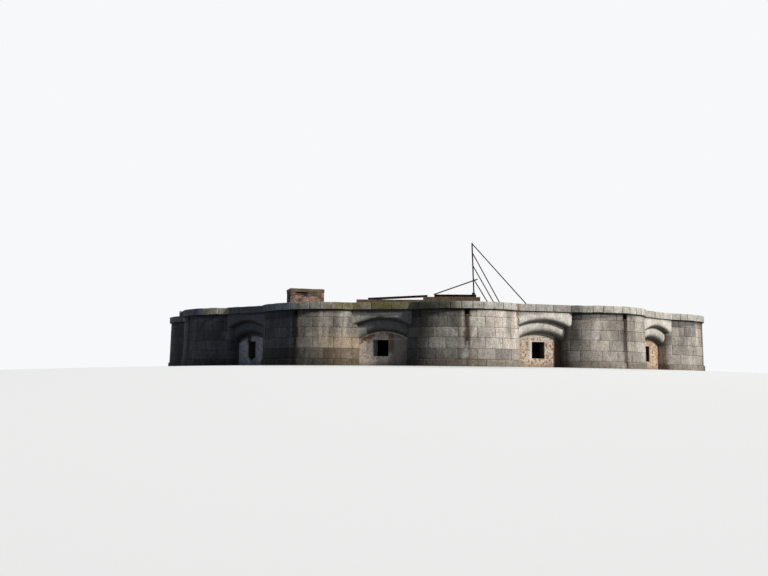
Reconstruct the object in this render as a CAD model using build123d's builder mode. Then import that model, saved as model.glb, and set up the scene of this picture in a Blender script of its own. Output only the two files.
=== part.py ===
# River fort, a model at half real size, in millimetres.
# The origin is at ground level in the middle of the court, +Z is up, and the gun port that faces
# the viewer is toward -Y. Ports are numbered anticlockwise as seen from above.
import os
from math import atan, cos, degrees, hypot, radians, sin, sqrt

from build123d import *

os.makedirs("parts", exist_ok=True)

# Ring of piers and ports
port_count = 12
crest_radius = 14900
wall_height = 2500
lobe_radius = 3170
lobe_sides = 42
batter = 1 / 40
port_half_width = 1125
port_recess = 890
corner_radius = 190
plinth_height = 300
plinth_step = 60
drain_width = 180
drain_height = 250
drain_depth = 320

# Arches over the ports, both struck from one axis below the ground line
outer_arch_crown = 2100
outer_arch_radius = 2700
outer_nose_radius = 200
outer_soffit_depth = 260
arch_step = 530
inner_nose_radius = 325
nose_flats = 3
arch_sides = 96

# Walls that close the ports, with plain windows where none can be measured
port_wall_thickness = 475
window_width = 620
window_sill = 420
window_head = 1160
notch_width = 330
notch_depth = 180
doorway_width = 700
doorway_head = 1180

# Ports with an opening of their own, numbered from 0 at -Y: left, right, sill and head
entrance_port = 6
broken_port = 11
measured_windows = {
    0: (-495, 205, 450, 1175),
    1: (-325, 290, 420, 1160),
    2: (-435, 185, 420, 1160),
    11: (-440, 80, 400, 1175),
}

# Coping
coping_overhang = 100
coping_thickness = 322
coping_width = 500

# Court wall, floor and roof
court_radius = 8000
court_wall_thickness = 450
court_window_width = 700
court_doorway_width = 900
court_doorway_head = 1250
floor_thickness = 100
roof_thickness = 280
quarter_count = 4

# Brick post on the roof
post_length = 1590
post_depth = 900
post_height = 660
post_wall = 115
post_slab_thickness = 165
post_slab_overhang = 30
post_slot_width = 560
post_slot_height = 90
post_right = -6650
post_setback = 2900
post_turn = 18

# Step, beam and steel frame on the roof, set out square to the line from the middle to the viewer
viewer_angle = 9.56
frame_setback = 2150
step_left = -3500
step_width = 700
step_height = 220
base_left = -500
base_length = 2560
base_height = 355
sill_left = 0
sill_length = 1900
sill_depth = 135
sill_flange = 110
steel_thickness = 14
beam_left = -3000
beam_past_base = 200
beam_depth = 100
beam_flange = 90
mast_side = 60
mast_foot = 1790
mast_lean = 90
mast_height = 2360
stay_side = 44
stay_tops = [0.985, 0.81, 0.56, 0.31]
stay_feet = [4215, 3020, 2765, 2500]
bar_side = 50
bar_rise = 700
bar_reach = 1955

# Places worked out from the sizes above
pitch = 360 / port_count
half_pitch = radians(pitch / 2)
lobe_centre = crest_radius - lobe_radius
lobe_across = lobe_centre * sin(half_pitch)
lobe_along = lobe_centre * cos(half_pitch)
foot_radius = lobe_radius + wall_height * batter
wedge_apex = port_half_width / sin(half_pitch)
reach = 2 * crest_radius
port_face = crest_radius - port_recess
outer_soffit_back = port_face - outer_soffit_depth
port_wall_face = outer_soffit_back - inner_nose_radius
gallery_outer = port_wall_face - port_wall_thickness
arch_axis = outer_arch_crown - outer_arch_radius
inner_arch_radius = outer_arch_radius - arch_step
roof_top = wall_height + roof_thickness
coping_radius = lobe_radius + coping_overhang
coping_inner_radius = coping_radius - coping_width
coping_face = port_face + coping_overhang
coping_back = coping_face - coping_width
court_wall_outer = court_radius + court_wall_thickness
post_back = crest_radius - post_setback
frame_back = crest_radius - frame_setback


def corner_half_width(radius, distance):
    """Half width of a port between the many-sided lobes beside it, at a distance from the middle."""
    widths = []
    for side in range(1, lobe_sides // 4):
        normal = half_pitch - radians(360 / lobe_sides) * side
        if normal < 0:
            widths.append(lobe_across + (radius - cos(normal) * (distance - lobe_along)) / sin(normal))
    return max(widths)


def lobe_corner(radius, distance, side):
    """The same corner, turned into the frame of a pier whose lobe points to -Y."""
    across = corner_half_width(radius, distance)
    x = distance * sin(half_pitch) - across * cos(half_pitch)
    y = distance * cos(half_pitch) + across * sin(half_pitch)
    return side * x, -y


def turned(part, count):
    """A copy of a part made for the port at -Y, turned on by a number of ports."""
    return part.rotate(Axis.Z, pitch * count)


def save(part, name):
    part.label = name
    export_step(part, f"parts/{name}.step")


def save_ring(pieces, name):
    """Several pieces kept together as one node."""
    save(Compound(children=pieces), name)


def make_pier():
    """One bowed pier: a battered drum of straight stones on a plinth, trimmed by the port sides."""
    side_turn = 180 / lobe_sides - 90
    with BuildPart() as drum:
        with BuildSketch():
            with Locations((0, -lobe_centre)):
                RegularPolygon(foot_radius, lobe_sides, major_radius=False, rotation=side_turn)
        extrude(amount=wall_height, taper=degrees(atan(batter)))
        add(make_pier_plan(wall_height), mode=Mode.INTERSECT)
        fillet(port_corners(drum), corner_radius)
    with BuildPart() as pier:
        with BuildSketch():
            with Locations((0, -lobe_centre)):
                RegularPolygon(foot_radius + plinth_step, lobe_sides, major_radius=False,
                               rotation=side_turn)
        extrude(amount=plinth_height)
        add(make_pier_plan(plinth_height), mode=Mode.INTERSECT)
        fillet(port_corners(pier), corner_radius + plinth_step)
        add(drum.part)
        with Locations((0, -lobe_centre - lobe_radius, wall_height)):
            Box(drain_width, 2 * drain_depth, drain_height, mode=Mode.SUBTRACT,
                align=(Align.CENTER, Align.CENTER, Align.MAX))
    return pier.part


def make_pier_plan(height):
    """The plan that a pier may take, between both port sides and outside the gallery."""
    across = reach * sin(half_pitch)
    along = wedge_apex + reach * cos(half_pitch)
    with BuildPart() as plan:
        with BuildSketch():
            Polygon((0, -wedge_apex), (across, -along), (-across, -along), align=None)
            RegularPolygon(gallery_outer, port_count, major_radius=False, mode=Mode.SUBTRACT)
        extrude(amount=height)
    return plan.part


def port_corners(block):
    """The two upright edges where a pier's face meets the port sides."""
    on_port_side = [
        edge for edge in block.edges()
        if abs(edge.tangent_at(0.5).Z) > 0.9
        and abs(abs(edge.center().X) * cos(half_pitch) + edge.center().Y * sin(half_pitch)
                + port_half_width) < 1
    ]
    return ShapeList(on_port_side).sort_by(Axis.Y)[:2]


def nose_points(face, radius, nose_radius):
    """Distance from the middle and radius of an arch's rounded edge, from its face to its soffit."""
    points = []
    for count in range(nose_flats + 1):
        angle = radians(90 * count / nose_flats)
        points.append((face - nose_radius * (1 - cos(angle)), radius + nose_radius * (1 - sin(angle))))
    return points


def arch_ring(radius):
    """A full ring of straight stones round the arch axis, with one of them at the crown."""
    with Locations((0, arch_axis)):
        RegularPolygon(radius, arch_sides, major_radius=False, rotation=180 / arch_sides)


def make_arch_void():
    """The space under both arches, built up ring by ring from the face of the port to the court."""
    outer_nose = nose_points(port_face, outer_arch_radius, outer_nose_radius)
    inner_nose = nose_points(outer_soffit_back, inner_arch_radius, inner_nose_radius)
    profile = [(reach, outer_nose[0][1]), *outer_nose, (outer_soffit_back, outer_arch_radius),
               *inner_nose, (court_radius, inner_arch_radius)]
    with BuildPart() as void:
        for (near, near_radius), (far, far_radius) in zip(profile, profile[1:]):
            if near > far:
                with BuildSketch(Plane.XZ.offset(near)):
                    arch_ring(near_radius)
                with BuildSketch(Plane.XZ.offset(far)):
                    arch_ring(far_radius)
                loft(ruled=True)
    return void.part


def make_head(front, back, half_width, bottom, neighbours, void):
    """Masonry over a port, from its face to a depth, with the arch cut out below."""
    with BuildPart() as head:
        with BuildSketch(Plane.XY.offset(bottom)):
            with Locations((0, -(front + back) / 2)):
                Rectangle(2 * half_width, front - back)
        extrude(amount=wall_height - bottom)
        add(void, mode=Mode.SUBTRACT)
        for pier in neighbours:
            add(pier, mode=Mode.SUBTRACT)
    return head.part


def panels_round(opening, half_width, height):
    """The two jambs, the head and any apron round an opening, each as left, right, bottom and top."""
    left, right, sill, head = opening
    panels = [(-half_width, left, 0, height), (right, half_width, 0, height), (left, right, head, height)]
    if sill > 0:
        panels.append((left, right, 0, sill))
    return panels


def make_port_wall(opening, notch=0):
    """The wall that closes a port under the inner arch, built up round one opening."""
    middle = (opening[0] + opening[1]) / 2
    sill = opening[2]
    pieces = []
    for left, right, bottom, top in panels_round(opening, port_half_width, wall_height):
        with BuildPart() as piece:
            with BuildSketch(Plane.XZ.offset(gallery_outer)):
                with Locations(((left + right) / 2, (bottom + top) / 2)):
                    Rectangle(right - left, top - bottom)
                with Locations((0, arch_axis)):
                    RegularPolygon(inner_arch_radius, arch_sides, major_radius=False,
                                   rotation=180 / arch_sides, mode=Mode.INTERSECT)
                if notch:
                    Polygon((middle - notch_width / 2, sill), (middle, sill - notch),
                            (middle + notch_width / 2, sill), align=None, mode=Mode.SUBTRACT)
            extrude(amount=port_wall_thickness)
        pieces.append(piece.part)
    return pieces


def make_pier_coping():
    """The coping over one pier: straight stones set to a bow, between the slanting end joints."""
    side_turn = 180 / lobe_sides - 90
    outer = [lobe_corner(coping_radius, coping_face, side) for side in (-1, 1)]
    inner = [lobe_corner(coping_inner_radius, coping_back, side) for side in (-1, 1)]
    beyond = [(2 * out[0] - into[0], 2 * out[1] - into[1]) for out, into in zip(outer, inner)]
    with BuildPart() as coping:
        with BuildSketch(Plane.XY.offset(wall_height)):
            with Locations((0, -lobe_centre)):
                RegularPolygon(coping_radius, lobe_sides, major_radius=False, rotation=side_turn)
                RegularPolygon(coping_inner_radius, lobe_sides, major_radius=False,
                               rotation=side_turn, mode=Mode.SUBTRACT)
            Polygon(inner[0], beyond[0], (-coping_radius, -reach), (coping_radius, -reach),
                    beyond[1], inner[1], align=None, mode=Mode.INTERSECT)
        extrude(amount=coping_thickness)
    return coping.part


def make_port_coping():
    """The straight coping over one port."""
    front = corner_half_width(coping_radius, coping_face)
    back = corner_half_width(coping_inner_radius, coping_back)
    with BuildPart() as coping:
        with BuildSketch(Plane.XY.offset(wall_height)):
            Polygon((-front, -coping_face), (front, -coping_face), (back, -coping_back),
                    (-back, -coping_back), align=None)
        extrude(amount=coping_thickness)
    return coping.part


def make_wedge(first, last):
    """The wedge of plan between two angles from -Y, as tall as the whole fort."""
    edges = [radians(first + (last - first) * share) for share in (0, 0.5, 1)]
    with BuildPart() as wedge:
        with BuildSketch():
            Polygon((0, 0), *[(reach * sin(angle), -reach * cos(angle)) for angle in edges],
                    align=None)
        extrude(amount=roof_top)
    return wedge.part


def make_ring(outer, inner, bottom, height):
    """A ring with as many flat sides as there are ports, each flat side facing a port."""
    with BuildPart() as ring:
        with BuildSketch(Plane.XY.offset(bottom)):
            RegularPolygon(outer, port_count, major_radius=False, rotation=pitch / 2)
            RegularPolygon(inner, port_count, major_radius=False, rotation=pitch / 2,
                           mode=Mode.SUBTRACT)
        extrude(amount=height)
    return ring.part


def make_roof_sector():
    """The roof slab behind one port, scalloped to fit behind the coping."""
    with BuildPart() as roof:
        with BuildSketch(Plane.XY.offset(wall_height)):
            with PolarLocations(lobe_centre, port_count, start_angle=pitch / 2):
                RegularPolygon(coping_inner_radius, lobe_sides, major_radius=False,
                               rotation=180 / lobe_sides)
            RegularPolygon(coping_back, port_count, major_radius=False, rotation=pitch / 2)
            RegularPolygon(court_radius, port_count, major_radius=False, rotation=pitch / 2,
                           mode=Mode.SUBTRACT)
        extrude(amount=roof_thickness)
        add(make_wedge(-pitch / 2, pitch / 2), mode=Mode.INTERSECT)
    return roof.part


def make_court_panel(opening):
    """One flat panel of the court wall, built up round one opening."""
    panel = make_ring(court_wall_outer, court_radius, 0, wall_height)
    wedge = make_wedge(-pitch / 2, pitch / 2)
    pieces = []
    for left, right, bottom, top in panels_round(opening, court_wall_outer, wall_height):
        with BuildPart() as piece:
            add(panel)
            add(wedge, mode=Mode.INTERSECT)
            with Locations(((left + right) / 2, -court_wall_outer, bottom)):
                Box(right - left, court_wall_outer, top - bottom, mode=Mode.INTERSECT,
                    align=(Align.CENTER, Align.CENTER, Align.MIN))
        pieces.append(piece.part)
    return pieces


def from_viewer(part):
    """Turn a part set out square to the viewer's line into the model's own frame."""
    return part.rotate(Axis.Z, viewer_angle)


def make_post_walls():
    """Four thin brick walls in one box, with a slot under the slab in the front wall."""
    with BuildPart() as walls:
        with BuildSketch(Plane.XY.offset(roof_top)):
            Rectangle(post_length, post_depth, align=(Align.MIN, Align.MIN))
            with Locations((post_wall, post_wall)):
                Rectangle(post_length - 2 * post_wall, post_depth - 2 * post_wall,
                          align=(Align.MIN, Align.MIN), mode=Mode.SUBTRACT)
        extrude(amount=post_height)
        with Locations((2 * post_wall, 0, roof_top + post_height)):
            Box(post_slot_width, post_wall, post_slot_height, mode=Mode.SUBTRACT,
                align=(Align.MIN, Align.MIN, Align.MAX))
    return walls.part


def make_post_slab():
    with BuildPart() as slab:
        with BuildSketch(Plane.XY.offset(roof_top + post_height)):
            with Locations((-post_slab_overhang, -post_slab_overhang)):
                Rectangle(post_length + 2 * post_slab_overhang, post_depth + 2 * post_slab_overhang,
                          align=(Align.MIN, Align.MIN))
        extrude(amount=post_slab_thickness)
    return slab.part


def set_post(part):
    """Turn the brick post on its front left corner and put it on the roof."""
    return from_viewer(part.rotate(Axis.Z, post_turn).moved(Location((post_right, -post_back, 0))))


def make_block(left, length, width, height):
    """A plain concrete block on the roof, along the frame's line."""
    with BuildPart() as block:
        with BuildSketch(Plane.XY.offset(roof_top)):
            with Locations((left, -frame_back)):
                Rectangle(length, width, align=(Align.MIN, Align.CENTER))
        extrude(amount=height)
    return block.part


def make_joist(start, end, depth, flange):
    """A rolled steel joist of I section whose underside runs between two points (x, z)."""
    run = hypot(end[0] - start[0], end[1] - start[1])
    plane = Plane(origin=(start[0], -frame_back, start[1]), x_dir=(0, 1, 0),
                  z_dir=((end[0] - start[0]) / run, 0, (end[1] - start[1]) / run))
    with BuildPart() as joist:
        with BuildSketch(plane):
            with Locations((0, depth / 2)):
                Rectangle(flange, depth)
                for side in (-1, 1):
                    with Locations((side * (flange + steel_thickness) / 4, 0)):
                        Rectangle((flange - steel_thickness) / 2, depth - 2 * steel_thickness,
                                  mode=Mode.SUBTRACT)
        extrude(amount=run)
    return joist.part


def make_bar(foot, top, side, beside=0, joined=None):
    """A square steel bar from its foot up to a point (x, z), cut level at the foot.

    It stands in the frame's upright plane or beside it, and is cut to fit the bar that it is joined to.
    """
    run = hypot(top[0] - foot[0], top[1] - foot[1])
    z_dir = ((top[0] - foot[0]) / run, 0, (top[1] - foot[1]) / run)
    plane = Plane(origin=(foot[0], -frame_back + beside, foot[1]), x_dir=(0, 1, 0), z_dir=z_dir)
    below = 2 * side * run / (top[1] - foot[1])
    with BuildPart() as bar:
        with BuildSketch(plane.offset(-below)):
            Rectangle(side, side)
        extrude(amount=run + below)
        with Locations((foot[0], -frame_back + beside, foot[1])):
            Box(6 * below, 2 * side, 2 * below, mode=Mode.SUBTRACT,
                align=(Align.CENTER, Align.CENTER, Align.MAX))
        if joined:
            add(joined, mode=Mode.SUBTRACT)
    return bar.part


# Piers
pier = make_pier()
for count in range(port_count):
    save(turned(pier, count + 0.5), f"pier_{count + 1:02d}")

# Arches over the ports
arch_void = make_arch_void()
neighbours = [turned(pier, -0.5), turned(pier, 0.5)]
head_half_width = corner_half_width(lobe_radius, port_face) + corner_radius
outer_bottom = arch_axis + sqrt(outer_arch_radius**2 - head_half_width**2) - corner_radius
inner_bottom = arch_axis + sqrt(inner_arch_radius**2 - port_half_width**2)
outer_head = make_head(port_face, outer_soffit_back, head_half_width, outer_bottom, neighbours, arch_void)
inner_head = make_head(outer_soffit_back, gallery_outer, port_half_width, inner_bottom, neighbours,
                       arch_void)
save_ring([turned(outer_head, count) for count in range(port_count)], "outer_port_arches")
save_ring([turned(inner_head, count) for count in range(port_count)], "inner_port_arches")

# Walls in the ports
openings = {count: (-window_width / 2, window_width / 2, window_sill, window_head)
            for count in range(port_count)}
openings.update(measured_windows)
openings[entrance_port] = (-doorway_width / 2, doorway_width / 2, 0, doorway_head)
for count in range(port_count):
    pieces = make_port_wall(openings[count], notch=notch_depth if count == broken_port else 0)
    name = "entrance_wall" if count == entrance_port else f"port_wall_{count + 1:02d}"
    save_ring([turned(piece, count) for piece in pieces], name)

# Coping
pier_coping = make_pier_coping()
port_coping = make_port_coping()
save_ring([turned(pier_coping, count + 0.5) for count in range(port_count)], "pier_coping")
save_ring([turned(port_coping, count) for count in range(port_count)], "port_coping")

# Court wall in quarters, each with a doorway between two windows, then the floor and the roof
window_panel = make_court_panel((-court_window_width / 2, court_window_width / 2, window_sill, window_head))
doorway_panel = make_court_panel((-court_doorway_width / 2, court_doorway_width / 2, 0, court_doorway_head))
panels_per_quarter = port_count // quarter_count
for quarter in range(quarter_count):
    pieces = []
    for place in range(panels_per_quarter):
        panel = doorway_panel if place == panels_per_quarter // 2 else window_panel
        pieces.extend(turned(piece, quarter * panels_per_quarter + place) for piece in panel)
    save_ring(pieces, f"court_wall_{quarter + 1}")
roof_sector = make_roof_sector()
save(make_ring(gallery_outer, court_wall_outer, 0, floor_thickness), "gallery_floor")
save_ring([turned(roof_sector, count) for count in range(port_count)], "roof_slab")

# Brick post
save(set_post(make_post_walls()), "brick_post_walls")
save(set_post(make_post_slab()), "brick_post_slab")

# Step, beam and steel frame
step_top = roof_top + step_height
base_top = roof_top + base_height
sill_top = base_top + sill_depth
save(from_viewer(make_block(step_left, base_left - step_left, step_width, step_height)), "roof_step")
save(from_viewer(make_block(base_left, base_length, step_width, base_height)), "frame_base")
save(from_viewer(make_joist((sill_left, base_top), (sill_left + sill_length, base_top), sill_depth,
                            sill_flange)), "frame_sill")
beam_slope = (base_top - step_top) / (base_left - beam_left)
beam_end = (base_left + beam_past_base, base_top + beam_slope * beam_past_base)
save(from_viewer(make_joist((beam_left, step_top), beam_end, beam_depth, beam_flange)), "rusty_beam")
mast = make_bar((mast_foot, sill_top), (mast_foot - mast_lean, sill_top + mast_height), mast_side)
save(from_viewer(mast), "mast")
stays = []
for share, foot in zip(stay_tops, stay_feet):
    top = (mast_foot - mast_lean * share, sill_top + mast_height * share)
    stays.append(from_viewer(make_bar((foot, roof_top), top, stay_side, joined=mast)))
save_ring(stays, "stays")
slanting_bar = make_bar((sill_left, sill_top), (sill_left + bar_reach, sill_top + bar_rise), bar_side,
                        beside=-(mast_side + bar_side) / 2)
save(from_viewer(slanting_bar), "slanting_bar")
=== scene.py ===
"""Looks for the river fort, a model at half real size. Metres, +Z up, -Y toward the viewer.

Stones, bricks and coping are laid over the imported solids, course by course, from the fort's own
sizes. Angles round the fort are measured from -Y toward +X. Colours take them in degrees.
"""

import math
from functools import partial
from itertools import pairwise

import bpy
import numpy as np
from mathutils import Matrix, Vector


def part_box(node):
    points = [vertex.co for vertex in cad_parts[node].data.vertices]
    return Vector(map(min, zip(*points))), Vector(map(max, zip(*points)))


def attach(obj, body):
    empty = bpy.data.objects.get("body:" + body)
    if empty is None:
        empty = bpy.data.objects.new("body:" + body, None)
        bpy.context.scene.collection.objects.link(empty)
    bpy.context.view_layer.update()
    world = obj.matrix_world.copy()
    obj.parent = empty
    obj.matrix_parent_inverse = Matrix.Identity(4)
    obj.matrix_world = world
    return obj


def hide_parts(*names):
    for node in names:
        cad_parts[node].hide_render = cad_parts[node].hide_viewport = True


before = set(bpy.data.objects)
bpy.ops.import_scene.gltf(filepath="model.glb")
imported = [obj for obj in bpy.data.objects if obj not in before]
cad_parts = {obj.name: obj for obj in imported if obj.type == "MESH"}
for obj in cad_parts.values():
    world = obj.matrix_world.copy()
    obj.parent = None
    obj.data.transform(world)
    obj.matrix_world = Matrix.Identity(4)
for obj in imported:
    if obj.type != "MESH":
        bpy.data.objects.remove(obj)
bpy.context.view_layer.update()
rng = np.random.default_rng(12)

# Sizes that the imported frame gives
wall_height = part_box("pier_01")[1][2]
coping_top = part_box("pier_coping")[1][2]
roof_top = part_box("roof_slab")[1][2]
sill_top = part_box("frame_sill")[1][2]
post_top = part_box("brick_post_walls")[1][2]
slab_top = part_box("brick_post_slab")[1][2]
port_face = -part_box("outer_port_arches")[0][1]
soffit_back = -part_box("inner_port_arches")[0][1]
port_wall_face = -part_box("port_wall_01")[0][1]
gallery_outer = -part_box("port_wall_01")[1][1]
port_half_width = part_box("port_wall_01")[1][0]

# Sizes of the ring, as in the part's source
port_count = 12
pitch = math.tau / port_count
half_pitch = pitch / 2
pitch_degrees = 360 / port_count
lobe_radius = 3.17
lobe_centre = 11.73
lobe_sides = 42
corner_radius = 0.19
batter = 1 / 40
plinth_height = 0.30
plinth_step = 0.06
drain_width = 0.18
drain_height = 0.25
drain_depth = 0.32
arch_axis = -0.60
outer_arch_radius = 2.70
outer_nose_radius = 0.20
inner_arch_radius = 2.17
inner_nose_radius = 0.325
court_wall_outer = 8.45

# Coping
coping_overhang = 0.10
coping_width = 0.50
coping_gap = 0.004
coping_stones = 11
end_stone_spread = math.radians(2.2)
port_coping_stones = 3
port_coping_half_front = 1.314
port_coping_half_back = 1.463
slipped_stone = (10, 2)
slip_out = 0.17
slip_down = 0.02

# Ports with an opening or a look of their own, numbered anticlockwise from the one at -Y
front_port = 0
right_port = 1
far_right_port = 2
entrance_port = 6
broken_port = 11

# Openings in the port walls: left, right, bottom and top
plain_window = (-0.31, 0.31, 0.42, 1.16)
windows = {
    front_port: (-0.495, 0.205, 0.45, 1.175),
    right_port: (-0.325, 0.29, 0.42, 1.16),
    far_right_port: (-0.435, 0.185, 0.42, 1.16),
    entrance_port: (-0.35, 0.35, 0.0, 1.18),
    broken_port: (-0.44, 0.08, 0.40, 1.175),
}
notch_width = 0.33
notch_depth = 0.18
reveal_splay = 0.11

# Stonework
course_tops = (plinth_height, 0.775, 1.25, 1.70, 2.155, wall_height)
stone_length = 0.87
shortest_share = 0.35
joint = 0.011
joint_depth = 0.026
joint_shade = 0.70
arch_proud = 0.018
coat_thickness = 0.012
coat_lift = 0.003
coat_waves = 0.003
hair = 1e-6
outer_arch_joints = ((-1.42, -0.66, 0.20, 1.42), (-1.42, -1.26, -0.24, 0.61, 1.42))
inner_arch_joints = ((-1.40, -0.35, 0.48, 1.40), (-1.40, -0.72, 0.08, 0.75, 1.40))
dressed = {"gap": 0.006, "depth": 0.011, "relief": 0.002, "chip": 0.006}
roof_bay = {"gap": 0.012, "depth": 0.012, "relief": 0.004, "chip": 0.012, "step": 0.22}
brick_length = 0.1125
brick_height = 0.0375
brick_joint = 0.004
brick_edge = 0.0025
brick_proud = 0.006
brick_uneven = 0.002
shortest_brick = 0.03
missing_share = 0.02

# Roof, with the steel frame and the brick post set out as the viewer sees them
viewer_angle = math.radians(9.56)
roof_rows = (8.04, 9.40, 10.80, 12.20, 13.55)
roof_lift = 0.006
roof_split = 0.35
frame_setback = 2.15
steel_distance = lobe_centre + lobe_radius - frame_setback
mast_foot = 1.79
stay_feet = (4.215, 3.02, 2.765, 2.50)
fish_plate_height = 0.09
bolt_height = 0.014
bolt_line = 0.036
bolt_spacing = 0.28
sill_bolts = 7
post_place = (-6.65, -12.0)
post_turn = math.radians(18)
post_length = 1.59
post_depth = 0.90
post_slab_overhang = 0.03
post_slab_sunk = 0.024
post_slot = (0.23, 0.79, 0.59)
front_side = 0
left_side = 3
square = np.array([(-1, -1), (1, -1), (1, 1), (-1, 1)])


def turn(points, angle):
    """Turn points about +Z, anticlockwise as seen from above."""
    turned = np.array(points, dtype=float)
    turned[..., 0] = math.cos(angle) * points[..., 0] - math.sin(angle) * points[..., 1]
    turned[..., 1] = math.sin(angle) * points[..., 0] + math.cos(angle) * points[..., 1]
    return turned


def smooth(low, high, value):
    """0 below low, 1 above high, and a smooth rise between."""
    share = np.clip((value - low) / (high - low), 0, 1)
    return share * share * (3 - 2 * share)


def band(low, high, soft, value):
    """1 from low to high, falling to 0 over a soft edge on both sides."""
    return smooth(low - soft, low, value) * (1 - smooth(high, high + soft, value))


def mix(first, second, share):
    """Blend two colours, point by point."""
    share = np.asarray(share)[..., None]
    return np.asarray(first) * (1 - share) + np.asarray(second) * share


def tint(colour, factor, share):
    """Multiply a colour by a factor, point by point, as far as the share says."""
    return mix(colour, colour * np.asarray(factor), share)


def grid(first, second):
    """Two fields that run over every pair of the two rows of values."""
    return np.meshgrid(first, second, indexing="ij")


def lattice(column, row, seed):
    """A random value from 0 to 1 for each whole-numbered place."""
    value = np.sin(column * 127.1 + row * 311.7 + seed * 74.7) * 43758.5453
    return value - np.floor(value)


def cloud(across, up, cell, seed, octaves=4):
    """A smooth random field from 0 to 1, coarse lumps of one cell with finer and fainter ones added."""
    total, weight = 0, 0
    for octave in range(octaves):
        column, row = across / cell * 2 ** octave, up / cell * 2 ** octave
        left, low = np.floor(column), np.floor(row)
        right_share, high_share = smooth(0, 1, column - left), smooth(0, 1, row - low)
        bottom, top = (lattice(left, level, seed + octave) * (1 - right_share)
                       + lattice(left + 1, level, seed + octave) * right_share for level in (low, low + 1))
        strength = 0.55 ** octave
        total = total + (bottom * (1 - high_share) + top * high_share) * strength
        weight += strength
    return total / weight


def add_object(name, data):
    """A new object in the scene."""
    added = bpy.data.objects.new(name, data)
    bpy.context.scene.collection.objects.link(added)
    return added


def add_mesh(name, points, faces, material):
    """A new smooth mesh in the scene."""
    mesh = bpy.data.meshes.new(name)
    mesh.from_pydata(points, [], faces)
    mesh.polygons.foreach_set("use_smooth", [True] * len(mesh.polygons))
    mesh.materials.append(material)
    return add_object(name, mesh)


class Skin:
    """Patches of masonry that become one mesh, each point with its own colour."""

    def __init__(self):
        self.points = []
        self.faces = []
        self.colours = []
        self.flat = []
        self.count = 0

    def add(self, points, colours, cover=1.0, flat=None, keep=None):
        """A grid of points. cover is the share of a coat over brick, flat the place along a wall."""
        rows, columns = points.shape[:2]
        index = self.count + np.arange(rows * columns).reshape(rows, columns)
        quads = np.stack([index[:-1, :-1], index[1:, :-1], index[1:, 1:], index[:-1, 1:]], -1)
        self.points.append(points.reshape(-1, 3))
        self.faces.append(quads.reshape(-1, 4) if keep is None else quads[keep])
        paint = np.empty((rows, columns, 4))
        paint[..., :3] = colours
        paint[..., 3] = cover
        self.colours.append(paint.reshape(-1, 4))
        self.flat.append(np.zeros((rows * columns, 3)) if flat is None else flat.reshape(-1, 3))
        self.count += rows * columns

    def build(self, name, material, replaced=()):
        """Make the mesh from the points that its faces use, and hang it in the frame."""
        faces = np.concatenate(self.faces)
        used = np.unique(faces)
        new_index = np.zeros(self.count, dtype=int)
        new_index[used] = np.arange(len(used))
        points = np.concatenate(self.points)[used]
        piece = add_mesh(name, points.tolist(), new_index[faces].tolist(), material)
        layer = piece.data.attributes.new("paint", "FLOAT_COLOR", "POINT")
        layer.data.foreach_set("color", np.concatenate(self.colours)[used].ravel())
        layer = piece.data.attributes.new("flat", "FLOAT_VECTOR", "POINT")
        layer.data.foreach_set("vector", np.concatenate(self.flat)[used].ravel())
        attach(piece, "root")
        if replaced:
            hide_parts(*replaced)


# Materials

class Nodes:
    """Adds nodes to a tree. A value is a socket, a number, a vector or a colour."""

    def __init__(self, tree):
        self.tree = tree

    def put(self, socket, value):
        """Link or set one socket."""
        if isinstance(value, bpy.types.NodeSocket):
            self.tree.links.new(value, socket)
        else:
            socket.default_value = (*value, 1) if socket.type == "RGBA" else value

    def add(self, kind, settings=None, **values):
        """A new node. Its inputs are named as in Blender, with _ for a space."""
        node = self.tree.nodes.new("ShaderNode" + kind)
        for name, value in (settings or {}).items():
            setattr(node, name, value)
        for name, value in values.items():
            self.put(node.inputs[name.replace("_", " ")], value)
        return node

    def maths(self, operation, *values):
        """One step of arithmetic."""
        node = self.add("Math", {"operation": operation})
        for socket, value in zip(node.inputs, values):
            self.put(socket, value)
        return node.outputs[0]

    def shown_rays(self):
        """1 for a ray from the camera, or from gloss or glass, that shows the background."""
        rays = self.add("LightPath").outputs
        direct = self.maths("MAXIMUM", rays["Is Camera Ray"], rays["Is Glossy Ray"])
        return self.maths("MAXIMUM", direct, rays["Is Transmission Ray"])


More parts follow.
